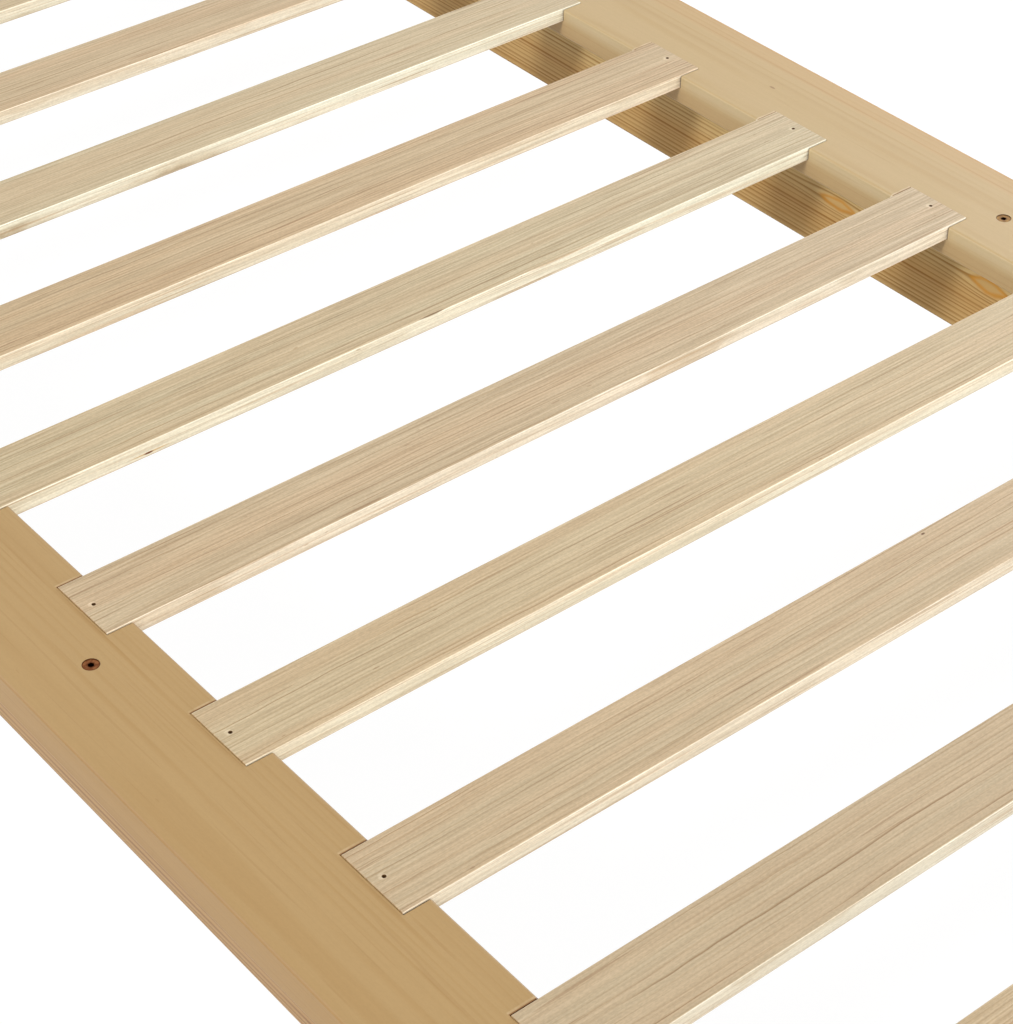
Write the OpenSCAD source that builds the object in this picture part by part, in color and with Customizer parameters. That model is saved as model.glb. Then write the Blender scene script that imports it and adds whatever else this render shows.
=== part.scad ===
// Low single bed base in pine: eleven slats let into flat planks, which lie on rails
// between four legs, all held with knock-down fittings.
// X runs across the bed, +Y to its head, +Z up. The origin is on the floor under the middle.

/* [Slats] */
// Number of slats across the bed
slat_count = 11; // [5:1:13]
// Distance from one slat's centre to the next
slat_pitch = 157.8; // [110:0.2:190]
// Width of a slat
slat_w = 59.5; // [40:0.5:80]
// Thickness of a slat
slat_t = 12.5; // [8:0.5:16]
// Length of a slat
slat_len = 800; // [500:1:1100]
// Radius on a slat's long arrises
slat_r = 0.5; // [0.3:0.1:3]
// Length of slat that lies in a housing
slat_seat = 20.5; // [15:0.5:28]
// Height that the slats stand above the planks
slat_proud = 1; // [0:0.1:3]
// Space left at each end of a slat
slat_end_gap = 0.3; // [0.1:0.1:0.9]
// Space left at each side of a slat in its housing
slat_side_gap = 1; // [0.3:0.1:3]

/* [Planks] */
// Width of a plank
plank_w = 95; // [80:0.5:130]
// Thickness of a plank
plank_t = 27; // [22:0.5:36]
// Radius on a plank's long arrises
plank_r = 2; // [1:0.5:6]
// Radius of the bed's outer corners, seen from above
corner_r = 12; // [4:1:30]
// Open space between the last slat and an end plank
end_gap = 97.5; // [60:0.5:140]

/* [Rails] */
// Thickness of a rail
rail_t = 25; // [22:0.5:40]
// Height of a rail
rail_h = 89.5; // [76:0.5:110]
// Radius on a rail's long arrises
rail_r = 3; // [1:0.5:6]

/* [Legs] */
// Height of the planks' top above the floor
deck_h = 200; // [160:1:320]
// Side of a leg's square section
leg_w = 70; // [54:0.5:78]
// Radius on a leg's upright arrises
leg_r = 6; // [2:0.5:12]
// Chamfer round a leg's foot
foot_chamfer = 4; // [1:0.5:8]

/* [Plank bolts] */
// Diameter of a plank bolt
plank_bolt_d = 6; // [5:0.5:7]
// Length of a plank bolt, with its head
plank_bolt_len = 40; // [38:0.5:50]
// Diameter of a plank bolt's countersunk head
plank_bolt_head_d = 11.6; // [10:0.1:14]
// Height of the straight rim on a plank bolt's head
plank_bolt_rim = 0.6; // [0.2:0.1:1]
// Distance of a plank bolt's head below the plank's top
plank_bolt_sink = 0.4; // [0:0.1:1]
// Size of a plank bolt's key socket, across its flats
plank_bolt_key = 4; // [3:0.5:5]
// Depth of a plank bolt's key socket
plank_bolt_key_depth = 2.6; // [1.5:0.1:3]
// Distance of a line of plank bolts inside its plank's centre line
bolt_shift = 3.5; // [0:0.5:5]
// Distance from a housing's side to the plank bolt beside it
bolt_step = 17.8; // [12:0.1:26]
// Distance between the two bolts of an end plank
end_bolt_spacing = 400; // [200:1:600]
// Outer diameter of a threaded insert
insert_d = 9; // [8:0.5:11]
// Length of a threaded insert
insert_len = 14; // [10:0.5:20]

/* [Bed bolts] */
// Diameter of a bed bolt
bed_bolt_d = 8; // [6:0.5:9]
// Diameter of a bed bolt's flat head
bed_bolt_head_d = 17; // [14:0.5:18]
// Thickness of a bed bolt's flat head
bed_bolt_head_t = 3.5; // [2:0.5:5]
// Size of a bed bolt's key socket, across its flats
bed_bolt_key = 5; // [4:0.5:6]
// Depth of a bed bolt's key socket
bed_bolt_key_depth = 2.5; // [1:0.5:3.5]
// Length of bed bolt that stands past its barrel nut
bed_bolt_tip = 4; // [1:0.5:8]
// Height between the two bed bolts that cross in a leg
bolt_stagger = 36; // [20:0.5:42]
// Diameter of the hole that sinks a bed bolt's head into the leg
sink_d = 20; // [18.5:0.5:24]
// Depth of that hole
sink_depth = 5; // [4:0.5:10]
// Diameter of a barrel nut
nut_d = 14; // [12:0.5:16]
// Length of a barrel nut
nut_len = 18; // [14:0.5:20]
// Distance from a rail's end to its barrel nut
nut_setback = 35; // [28:0.5:50]
// Width of the driver slot in a barrel nut
nut_slot_w = 1.5; // [1:0.1:2.5]
// Depth of the driver slot in a barrel nut
nut_slot_depth = 2; // [1:0.1:3]

/* [Dowels and pins] */
// Diameter of a wooden dowel
dowel_d = 8; // [6:0.5:10]
// Chamfer on a dowel's ends
dowel_chamfer = 1; // [0.5:0.1:1.5]
// Length of a dowel between a rail and a leg
rail_dowel_len = 34; // [20:1:40]
// Length of a dowel between two planks
plank_dowel_len = 40; // [30:1:60]
// Distance between the two dowels of a plank joint
plank_dowel_spacing = 50; // [30:1:60]
// Diameter of a slat pin
pin_d = 2.2; // [1.4:0.1:3]
// Length of a slat pin
pin_len = 22; // [18:0.5:24]
// Distance of a slat pin's head below the slat's top
pin_sink = 1.4; // [0.2:0.1:2]
// Distance from a slat's end to its pin
pin_inset = 9; // [6:0.5:12]

/* [Floor glides] */
// Diameter of a floor glide
glide_d = 28; // [20:1:40]
// Thickness of a floor glide
glide_t = 3; // [2:0.5:6]
// Diameter of a floor glide's nail
glide_nail_d = 2.5; // [1.5:0.1:4]
// Length of a floor glide's nail
glide_nail_len = 14; // [8:1:20]

/* [Clearances] */
// Space round a bolt in the hole that it passes through
bolt_clear = 0.5; // [0.2:0.1:0.8]
// Space round a piece that fits its hole closely
fit_clear = 0.1; // [0.05:0.01:0.3]
// Space left past the end of a piece in a blind hole
end_clear = 0.5; // [0.2:0.1:0.9]

/* [Hidden] */
$fn = 64;
SIDES = [-1, 1];

// Length that a cut runs past the face that it opens on
over = 1;

// Heights
plank_z = deck_h - plank_t / 2;
rail_top_z = deck_h - plank_t;
rail_z = rail_top_z - rail_h / 2;
bolt_rise = bolt_stagger / 2;
slat_top_z = deck_h + slat_proud;
slat_z = slat_top_z - slat_t / 2;
housing_floor_z = slat_top_z - slat_t;
pin_top_z = slat_top_z - pin_sink;
leg_h = rail_top_z - glide_t;

// Places across the bed
housing_end_x = slat_len / 2 + slat_end_gap;
plank_in_x = housing_end_x - slat_seat - slat_end_gap;
plank_x = plank_in_x + plank_w / 2;
bolt_x = plank_x - bolt_shift;
pin_x = slat_len / 2 - pin_inset;

// Places along the bed
function slat_y(i) = ((slat_count - 1) / 2 - i) * slat_pitch;
housing_w = slat_w + 2 * slat_side_gap;
end_plank_in_y = slat_y(0) + slat_w / 2 + end_gap;
end_plank_y = end_plank_in_y + plank_w / 2;
plank_out_y = end_plank_in_y + plank_w;
end_bolt_y = end_plank_y - bolt_shift;
middle_bolt_y = -housing_w / 2 - bolt_step;
outer_bolt_y = slat_y(0) + housing_w / 2 + bolt_step;
SIDE_BOLT_YS = [-outer_bolt_y, middle_bolt_y, outer_bolt_y];
END_BOLT_XS = [-end_bolt_spacing / 2, end_bolt_spacing / 2];
PLANK_DOWEL_YS = [end_plank_y - plank_dowel_spacing / 2, end_plank_y + plank_dowel_spacing / 2];

// Lengths
side_plank_len = 2 * plank_out_y;
end_plank_len = 2 * plank_in_x;
side_rail_len = 2 * end_plank_y - leg_w;
end_rail_len = 2 * plank_x - leg_w;
bed_bolt_len = leg_w - sink_depth + nut_setback + nut_d / 2 + bed_bolt_tip;
pilot_depth = plank_bolt_len + plank_bolt_sink - plank_t + end_clear;

// Colours
PINE_GOLD = [0.75, 0.63, 0.44];
PINE_PALE = [0.80, 0.74, 0.66];
BEECH = [0.82, 0.68, 0.50];
BRONZE = [0.27, 0.20, 0.13];
STEEL = [0.62, 0.62, 0.63];
NYLON = [0.36, 0.27, 0.19];

SLATS = [for (i = [1 : slat_count]) str("slat_", i < 10 ? "0" : "", i)];

// Outlines and blanks

// Rectangle about the origin with round corners
module round_rect(w, h, r) {
    square([w - 2 * r, h], center = true);
    square([w, h - 2 * r], center = true);
    for (sx = SIDES, sy = SIDES)
        translate([sx * (w / 2 - r), sy * (h / 2 - r)]) circle(r);
}

// Bar across the bed, w wide, h high, with round long arrises
module bar_x(w, h, r, length) {
    rotate([90, 0, 90]) linear_extrude(length, center = true) round_rect(w, h, r);
}

// Bar along the bed, w wide, h high, with round long arrises
module bar_y(w, h, r, length) {
    rotate([90, 0, 0]) linear_extrude(length, center = true) round_rect(w, h, r);
}

// Round peg or hole from the origin, d across, that runs up Z
module peg(d, length) {
    cylinder(h = length, d = d);
}

// Turns what follows so that its Z axis runs towards +X
module towards_x() { rotate([0, 90, 0]) children(); }

// Moves a piece of the head end's right side to a side, an end or every corner
module to_side(side) { mirror([side < 0 ? 1 : 0, 0, 0]) children(); }
module to_end(end) { mirror([0, end < 0 ? 1 : 0, 0]) children(); }
module at_corners() { for (side = SIDES, end = SIDES) to_side(side) to_end(end) children(); }

// Half outline of a countersunk bolt or its hole, with the head's rim at the origin's height
module countersunk_outline(head_r, shank_r, length, top) {
    seat = plank_bolt_rim + head_r - shank_r;
    polygon([[0, top], [head_r, top], [head_r, -plank_bolt_rim],
        [shank_r, -seat], [shank_r, -length], [0, -length]]);
}

// Dowel about the origin along Z
module dowel(length) {
    r = dowel_d / 2;
    half = length / 2;
    rotate_extrude() polygon([[0, -half], [r - dowel_chamfer, -half], [r, dowel_chamfer - half],
        [r, half - dowel_chamfer], [r - dowel_chamfer, half], [0, half]]);
}

// Hole that a dowel of this length sits in, about the origin along Z
module dowel_hole(length) {
    translate([0, 0, -length / 2 - end_clear])
        peg(dowel_d + 2 * fit_clear, length + 2 * end_clear);
}

// Slats and their pins

// Places of the pins, on each slat's centre line near both ends
module at_pins() {
    for (i = [0 : slat_count - 1], side = SIDES)
        translate([side * pin_x, slat_y(i), pin_top_z]) children();
}

// Hole for a slat pin, open upwards from the pin's place
module pin_hole() {
    translate([0, 0, -pin_len - end_clear])
        peg(pin_d + 2 * fit_clear, pin_len + end_clear + pin_sink + over);
}

module slat(i) {
    color(PINE_PALE)
    difference() {
        translate([0, slat_y(i), slat_z]) bar_x(slat_w, slat_t, slat_r, slat_len);
        for (side = SIDES) translate([side * pin_x, slat_y(i), pin_top_z]) pin_hole();
    }
}

module slat_pins() {
    r = pin_d / 2;
    color(STEEL)
    at_pins() rotate_extrude()
        polygon([[0, 0], [r, 0], [r, 2 * r - pin_len], [0, -pin_len]]);
}

// Planks

// Housing that a slat's end lies in, on the right side
module housing(i) {
    translate([plank_in_x - over, slat_y(i) - housing_w / 2, housing_floor_z])
        cube([housing_end_x - plank_in_x + over, housing_w, slat_t + over]);
}

// Hole for a plank bolt, from the plank's top
module plank_bolt_hole() {
    translate([0, 0, -plank_bolt_sink])
        rotate_extrude() countersunk_outline(plank_bolt_head_d / 2 + fit_clear,
            plank_bolt_d / 2 + bolt_clear, plank_t + over, plank_bolt_sink + over);
}

// Dowels or dowel holes of the joints between the planks, at one end on the right side
module at_plank_dowels() {
    for (y = PLANK_DOWEL_YS) translate([plank_in_x, y, plank_z]) towards_x() children();
}

// Plan of the right plank, round at its outer corners
module side_plank_plan() {
    half_w = plank_w / 2;
    half_len = side_plank_len / 2;
    translate([-half_w, -half_len]) square([plank_w - corner_r, side_plank_len]);
    translate([-half_w, corner_r - half_len]) square([plank_w, side_plank_len - 2 * corner_r]);
    for (end = SIDES) translate([half_w - corner_r, end * (half_len - corner_r)]) circle(corner_r);
}

module side_plank(side) {
    color(PINE_GOLD)
    to_side(side) difference() {
        intersection() {
            translate([plank_x, 0, plank_z]) bar_y(plank_w, plank_t, plank_r, side_plank_len);
            translate([plank_x, 0, plank_z])
                linear_extrude(plank_t + over, center = true) side_plank_plan();
        }
        for (i = [0 : slat_count - 1]) {
            housing(i);
            translate([pin_x, slat_y(i), pin_top_z]) pin_hole();
        }
        for (y = SIDE_BOLT_YS) translate([bolt_x, y, deck_h]) plank_bolt_hole();
        for (end = SIDES) to_end(end) at_plank_dowels() dowel_hole(plank_dowel_len);
    }
}

module end_plank(end) {
    color(PINE_GOLD)
    to_end(end) difference() {
        translate([0, end_plank_y, plank_z]) bar_x(plank_w, plank_t, plank_r, end_plank_len);
        for (x = END_BOLT_XS) translate([x, end_bolt_y, deck_h]) plank_bolt_hole();
        for (side = SIDES) to_side(side) at_plank_dowels() dowel_hole(plank_dowel_len);
    }
}

module plank_dowels() {
    color(BEECH) at_corners() at_plank_dowels() dowel(plank_dowel_len);
}

// Places of the plank bolts, at the planks' top
module at_plank_bolts() {
    for (side = SIDES, y = SIDE_BOLT_YS) translate([side * bolt_x, y, deck_h]) children();
    for (end = SIDES, x = END_BOLT_XS) translate([x, end * end_bolt_y, deck_h]) children();
}

module plank_bolt() {
    difference() {
        rotate_extrude()
            countersunk_outline(plank_bolt_head_d / 2, plank_bolt_d / 2, plank_bolt_len, 0);
        translate([0, 0, -plank_bolt_key_depth]) key_socket(plank_bolt_key);
    }
}

module plank_bolts() {
    color(BRONZE) at_plank_bolts() translate([0, 0, -plank_bolt_sink]) plank_bolt();
}

module threaded_inserts() {
    color(STEEL)
    at_plank_bolts() translate([0, 0, -plank_t - insert_len]) difference() {
        peg(insert_d, insert_len);
        translate([0, 0, -over]) peg(plank_bolt_d + 2 * fit_clear, insert_len + 2 * over);
    }
}

// Hexagonal socket for a key, open upwards from the origin
module key_socket(flats) {
    cylinder(h = flats, d = flats / cos(30), $fn = 6);
}

// Rails

// Hole for a threaded insert and the end of its bolt, from the rail's top
module insert_hole() {
    translate([0, 0, -insert_len]) peg(insert_d + 2 * fit_clear, insert_len + over);
    translate([0, 0, -pilot_depth]) peg(plank_bolt_d + 2 * bolt_clear, pilot_depth);
}

// Fittings that join a rail to a leg are placed from the joint face, where Z runs into the
// rail and X to the bed's inside; the bolt lies this rise above the rail's centre line
module rail_end_holes(rise) {
    depth = nut_setback + nut_d / 2 + bed_bolt_tip + end_clear;
    translate([0, rise, -over]) peg(bed_bolt_d + 2 * bolt_clear, depth + over);
    translate([-nut_len / 2 - end_clear, rise, nut_setback])
        towards_x() peg(nut_d + 2 * fit_clear, nut_len / 2 + rail_t / 2 + end_clear + over);
    translate([0, -rise, 0]) dowel_hole(rail_dowel_len);
}

module barrel_nut() {
    difference() {
        translate([-nut_len / 2, 0, 0]) towards_x() peg(nut_d, nut_len);
        translate([0, 0, -nut_d]) peg(bed_bolt_d + 2 * fit_clear, 2 * nut_d);
        translate([nut_len / 2 - nut_slot_depth, -nut_slot_w / 2, -nut_d])
            cube([nut_slot_depth + over, nut_slot_w, 2 * nut_d]);
    }
}

// Bed bolt, from the joint face with its head in the leg
module bed_bolt() {
    seat = sink_depth - leg_w;
    top = seat - bed_bolt_head_t;
    edge = bed_bolt_head_t / 4;
    head_r = bed_bolt_head_d / 2;
    shank_r = bed_bolt_d / 2;
    tip = seat + bed_bolt_len;
    difference() {
        rotate_extrude() polygon([[0, top], [head_r - edge, top], [head_r, top + edge],
            [head_r, seat], [shank_r, seat], [shank_r, tip - edge], [shank_r - edge, tip], [0, tip]]);
        translate([0, 0, top + bed_bolt_key_depth - bed_bolt_key]) key_socket(bed_bolt_key);
    }
}

// Joint faces between the head end's right leg and its two rails
module at_side_joint() {
    translate([plank_x, end_plank_y - leg_w / 2, rail_z])
        mirror([1, 0, 0]) rotate([90, 0, 0]) children();
}
module at_end_joint() {
    translate([plank_x - leg_w / 2, end_plank_y, rail_z]) rotate([90, 0, -90]) children();
}

// The bolt and the dowel of a joint lie one above the other, and the two joints of a leg
// have them in opposite order, so that the bolts pass clear of each other
module at_side_joint_bolts() {
    at_corners() at_side_joint() translate([0, bolt_rise, 0]) children();
}
module at_end_joint_bolts() {
    at_corners() at_end_joint() translate([0, -bolt_rise, 0]) children();
}

module side_rail(side) {
    color(PINE_GOLD)
    to_side(side) difference() {
        translate([plank_x, 0, rail_z]) bar_y(rail_t, rail_h, rail_r, side_rail_len);
        for (end = SIDES) to_end(end) at_side_joint() rail_end_holes(bolt_rise);
        for (y = SIDE_BOLT_YS) translate([bolt_x, y, rail_top_z]) insert_hole();
    }
}

module end_rail(end) {
    color(PINE_GOLD)
    to_end(end) difference() {
        translate([0, end_plank_y, rail_z]) bar_x(rail_t, rail_h, rail_r, end_rail_len);
        for (side = SIDES) to_side(side) at_end_joint() rail_end_holes(-bolt_rise);
        for (x = END_BOLT_XS) translate([x, end_bolt_y, rail_top_z]) insert_hole();
    }
}

module bed_bolts() {
    color(BRONZE) {
        at_side_joint_bolts() bed_bolt();
        at_end_joint_bolts() bed_bolt();
    }
}

module barrel_nuts() {
    color(STEEL) {
        at_side_joint_bolts() translate([0, 0, nut_setback]) barrel_nut();
        at_end_joint_bolts() translate([0, 0, nut_setback]) barrel_nut();
    }
}

module rail_dowels() {
    color(BEECH) {
        at_corners() at_side_joint() translate([0, -bolt_rise, 0]) dowel(rail_dowel_len);
        at_corners() at_end_joint() translate([0, bolt_rise, 0]) dowel(rail_dowel_len);
    }
}

// Legs

// Hole through a leg for a bed bolt, sunk for its head, from the joint face
module leg_bolt_hole() {
    translate([0, 0, -leg_w - over]) {
        peg(bed_bolt_d + 2 * bolt_clear, leg_w + 2 * over);
        peg(sink_d, sink_depth + over);
    }
}

// Outline of a leg from the side, chamfered at the foot
module leg_side_outline() {
    toe = leg_w / 2 - foot_chamfer;
    side = leg_w / 2 + over;
    top = leg_h + over;
    polygon([[-toe, 0], [toe, 0], [side, foot_chamfer + over], [side, top],
        [-side, top], [-side, foot_chamfer + over]]);
}

module leg_blank() {
    intersection() {
        linear_extrude(leg_h) round_rect(leg_w, leg_w, leg_r);
        rotate([90, 0, 0]) linear_extrude(2 * leg_w, center = true) leg_side_outline();
        rotate([90, 0, 90]) linear_extrude(2 * leg_w, center = true) leg_side_outline();
    }
}

module leg(side, end) {
    color(PINE_GOLD)
    to_side(side) to_end(end) difference() {
        translate([plank_x, end_plank_y, glide_t]) leg_blank();
        at_side_joint() translate([0, bolt_rise, 0]) leg_bolt_hole();
        at_end_joint() translate([0, -bolt_rise, 0]) leg_bolt_hole();
        at_side_joint() translate([0, -bolt_rise, 0]) dowel_hole(rail_dowel_len);
        at_end_joint() translate([0, bolt_rise, 0]) dowel_hole(rail_dowel_len);
        translate([plank_x, end_plank_y, glide_t - over])
            peg(glide_nail_d + 2 * fit_clear, glide_nail_len + end_clear + over);
    }
}

// Glides nailed under the legs, domed at the rim
module floor_glides() {
    r = glide_d / 2;
    nail_r = glide_nail_d / 2;
    bevel = glide_t / 2;
    color(NYLON)
    at_corners() translate([plank_x, end_plank_y, 0])
        rotate_extrude() polygon([[0, 0], [r - bevel, 0], [r, bevel], [r, glide_t], [nail_r, glide_t],
            [nail_r, glide_t + glide_nail_len - nail_r], [0, glide_t + glide_nail_len]]);
}

side_plank(-1);  // side_plank_left
side_plank(1);  // side_plank_right
end_plank(1);  // head_plank
end_plank(-1);  // foot_plank
side_rail(-1);  // side_rail_left
side_rail(1);  // side_rail_right
end_rail(1);  // head_rail
end_rail(-1);  // foot_rail
leg(-1, 1);  // leg_head_left
leg(1, 1);  // leg_head_right
leg(-1, -1);  // leg_foot_left
leg(1, -1);  // leg_foot_right
for (i = [0 : slat_count - 1]) slat(i);
slat_pins();
plank_bolts();
threaded_inserts();
bed_bolts();
barrel_nuts();
rail_dowels();
plank_dowels();
floor_glides();
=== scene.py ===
"""Looks of the slatted pine bed base: finishes for the CAD nodes, floor, light and camera."""

import math

import bpy
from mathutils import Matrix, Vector


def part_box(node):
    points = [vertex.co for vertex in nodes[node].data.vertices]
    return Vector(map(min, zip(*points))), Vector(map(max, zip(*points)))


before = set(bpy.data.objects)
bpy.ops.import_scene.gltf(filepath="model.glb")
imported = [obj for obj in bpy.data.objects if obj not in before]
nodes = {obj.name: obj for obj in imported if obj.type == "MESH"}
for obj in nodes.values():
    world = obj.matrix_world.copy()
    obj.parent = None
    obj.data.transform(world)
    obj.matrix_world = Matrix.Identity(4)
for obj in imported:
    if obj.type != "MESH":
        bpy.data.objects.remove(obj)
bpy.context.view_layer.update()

WHITE = (1.0, 1.0, 1.0)
# Span of a noise's values, from its rare lows to its rare highs
NOISE_SPAN = (0.30, 0.70)


def rgba(colour):
    """A colour as the four numbers that a socket takes."""
    return (*colour, 1.0)


def middle_and_half(node):
    """The middle of a CAD node's box and its half sizes."""
    low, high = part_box(node)
    return (low + high) / 2, (high - low) / 2


def dress(node, material):
    """Gives a CAD node this material all over."""
    slots = nodes[node].data.materials
    slots.clear()
    slots.append(material)


class Shader:
    """Node tree of a material or world, with short calls that add a node and return its output."""

    def __init__(self, owner):
        self.owner = owner
        owner.use_nodes = True
        self.tree = owner.node_tree
        self.tree.nodes.clear()

    def node(self, kind, inputs=None, **settings):
        made = self.tree.nodes.new(kind)
        for key, value in settings.items():
            setattr(made, key, value)
        for socket, value in (inputs or {}).items():
            self.put(made.inputs[socket], value)
        return made

    def put(self, socket, value):
        if isinstance(value, bpy.types.NodeSocket):
            self.tree.links.new(value, socket)
        else:
            socket.default_value = value

    def math(self, operation, a, b=0.0, c=0.0):
        return self.node("ShaderNodeMath", {0: a, 1: b, 2: c}, operation=operation).outputs[0]

    def add(self, a, b):
        return self.math("ADD", a, b)

    def times(self, a, b):
        return self.math("MULTIPLY", a, b)

    def plus_times(self, start, value, factor):
        """A start plus a value times a factor."""
        return self.math("MULTIPLY_ADD", value, factor, start)

    def sum_of_squares(self, a, b):
        return self.add(self.times(a, a), self.times(b, b))

    def vector(self, operation, a, b=(0.0, 0.0, 0.0)):
        return self.node("ShaderNodeVectorMath", {0: a, 1: b}, operation=operation).outputs[0]

    def length(self, vector):
        made = self.node("ShaderNodeVectorMath", {0: vector}, operation="LENGTH")
        return made.outputs["Value"]

    def combine(self, x, y, z):
        return self.node("ShaderNodeCombineXYZ", {0: x, 1: y, 2: z}).outputs[0]

    def separate(self, value):
        return self.node("ShaderNodeSeparateXYZ", {0: value}).outputs

    def object_position(self):
        return self.node("ShaderNodeTexCoord").outputs["Object"]

    def normal(self):
        return self.node("ShaderNodeNewGeometry").outputs["True Normal"]

    def noise(self, where, stretch, detail=2.0, rough=0.5, output=0):
        """Noise from 0 to 1 about 0.5, with features 1 / stretch long on each axis.

        Output 0 is one number, and output 1 is three that differ.
        """
        scaled = self.vector("MULTIPLY", where, stretch)
        found = {"Vector": scaled, "Scale": 1.0, "Detail": detail, "Roughness": rough}
        return self.node("ShaderNodeTexNoise", found).outputs[output]

    def ease(self, value, low, high, out_low=0.0, out_high=1.0):
        """Smooth step of value from low to high."""
        found = {0: value, 1: low, 2: high, 3: out_low, 4: out_high}
        made = self.node("ShaderNodeMapRange", found, interpolation_type="SMOOTHSTEP")
        return made.outputs[0]

    def hump(self, value, start, full, fading, end):
        """0 before start and past end, and 1 from full to fading."""
        return self.times(self.ease(value, start, full), self.ease(value, fading, end, 1.0, 0.0))

    def spot_offsets(self, a, b, at_a, at_b, half_a=1.0, half_b=1.0):
        """How far a point of a face is from a place on it, as shares of the spot's half sizes."""
        from_a = self.math("DIVIDE", self.add(a, -at_a), half_a)
        from_b = self.math("DIVIDE", self.add(b, -at_b), half_b)
        return from_a, from_b

    def spot_distance(self, a, b, at_a, at_b):
        """Distance of a point of a face from a place on it."""
        return self.math("SQRT", self.sum_of_squares(*self.spot_offsets(a, b, at_a, at_b)))

    def mix(self, share, a, b, blend="MIX"):
        found = {0: share, 6: a, 7: b}
        made = self.node("ShaderNodeMix", found, data_type="RGBA", blend_type=blend)
        return made.outputs[2]

    def tinted(self, colour, factor):
        """A colour times a grey or coloured factor."""
        return self.mix(1.0, colour, factor, "MULTIPLY")

    def tinted_by(self, share, colour, tint):
        """A colour that takes on a tint as the share goes from 0 to 1."""
        return self.mix(share, colour, self.tinted(colour, rgba(tint)))

    def grey(self, value):
        return self.node("ShaderNodeCombineColor", {0: value, 1: value, 2: value}).outputs[0]

    def bump(self, height, depth):
        """Normal from a height of 0 to 1 that stands for this many metres."""
        found = {"Height": height, "Distance": depth, "Strength": 1.0}
        return self.node("ShaderNodeBump", found).outputs[0]

    def surface(self, **sockets):
        """Principled surface with these sockets; an underscore in a name stands for a space."""
        shader = self.node("ShaderNodeBsdfPrincipled")
        for key, value in sockets.items():
            self.put(shader.inputs[key.replace("_", " ")], value)
        return self.finish(shader.outputs[0])

    def finish(self, output, end="ShaderNodeOutputMaterial"):
        """Ends the tree in this output and gives back the material or world that owns it."""
        self.node(end, {"Surface": output})
        return self.owner


# Wood

# Axes along the grain, across the face and through the board, by the direction of the grain
GRAIN_AXES = {"X": (0, 1, 2), "Y": (1, 0, 2), "Z": (2, 0, 1)}

# Looks of the wood. "early" and "blush" are its own tones, and all other tones multiply the
# colour under them. The side tones and the arris tints are partly the wood's own and partly
# painted light, and the slats' drift from end to end is a painted sheen. Depths, side_lines,
# side_streaks and the painted shade at a slat's lower arris are shares of full strength, and
# ring_even and ring_fade are what is left of the weakest ring. "band" is how often the blush
# repeats in a metre. Steps, wander, ripple, reach and relief are in metres. "housings" is 1 or
# -1 where slats are let in on the +X or -X side of a board.
SLAT_PINE = {
    "early": (0.528, 0.421, 0.266),
    "blush": (0.538, 0.410, 0.253),
    "sap_tint": (1.0, 1.0, 1.0),
    "line": (0.74, 0.66, 0.55),
    "dark_ring": (0.60, 0.49, 0.38),
    "dash": (0.60, 0.46, 0.34),
    "ring_step": 0.0031,
    "ring_depth": 1.0,
    "ring_fade": 0.30,
    "ring_even": 0.15,
    "dark_depth": 0.65,
    "wander": (0.016, 0.008),
    "ripple": (0.0045, 0.0010),
    "band": (0.9, 46.0, 46.0),
    "fibre_depth": 0.135,
    "speckle_depth": 0.060,
    "dash_depth": 0.55,
    # Slat sides paler, partly by their own grain and partly by painted light from the front
    "side_tone_and_light": (1.26, 1.46, 1.78),
    "side_lines": 0.80,
    "side_streaks": 0.75,
    # Painted shade along the lower arris of a slat's sides
    "under_edge_shade": 0.70,
    # Paler arris: partly wear, partly a painted highlight
    "edge_wear_and_highlight": (1.32, 1.40, 1.54),
    "edge_reach": 0.0011,
    "end_pores": (0.86, 1.10),
    "housings": 0.0,
    # Painted sheen: the slats pale slowly towards +X
    "sheen_drift": ((0.980, 0.965, 0.945), (1.020, 1.015, 1.020)),
    "roughness": 0.52,
    "coat": 0.0,
    "specular": 0.5,
    "relief": 0.00008,
}
FRAME_PINE = {
    "early": (0.437, 0.282, 0.118),
    "blush": (0.415, 0.261, 0.104),
    "sap_tint": (1.14, 1.26, 1.48),
    "line": (0.86, 0.77, 0.60),
    "dark_ring": (0.72, 0.58, 0.38),
    "dash": (0.72, 0.58, 0.42),
    "ring_step": 0.0030,
    "ring_depth": 0.65,
    "ring_fade": 0.25,
    "ring_even": 0.15,
    "dark_depth": 0.15,
    "wander": (0.014, 0.007),
    "ripple": (0.0012, 0.0003),
    "band": (0.8, 26.0, 26.0),
    "fibre_depth": 0.018,
    "speckle_depth": 0.014,
    "dash_depth": 0.20,
    "side_tone_and_light": (1.0, 1.0, 1.05),
    "side_lines": 0.6,
    "side_streaks": 0.0,
    "under_edge_shade": 0.0,
    "edge_wear_and_highlight": (1.05, 1.05, 1.06),
    "edge_reach": 0.0024,
    "end_pores": (0.64, 0.90),
    "housings": 0.0,
    "sheen_drift": (WHITE, WHITE),
    "roughness": 0.46,
    "coat": 0.10,
    "specular": 0.35,
    "relief": 0.00003,
}
RAIL_PINE = {
    **FRAME_PINE,
    "early": (0.550, 0.385, 0.165),
    "blush": (0.510, 0.336, 0.130),
    "line": (0.54, 0.38, 0.19),
    "ring_step": 0.0038,
    "ring_depth": 1.0,
    "ring_fade": 0.60,
    "ring_even": 0.65,
    "dark_depth": 0.0,
    "fibre_depth": 0.03,
    "side_lines": 1.0,
}
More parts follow.
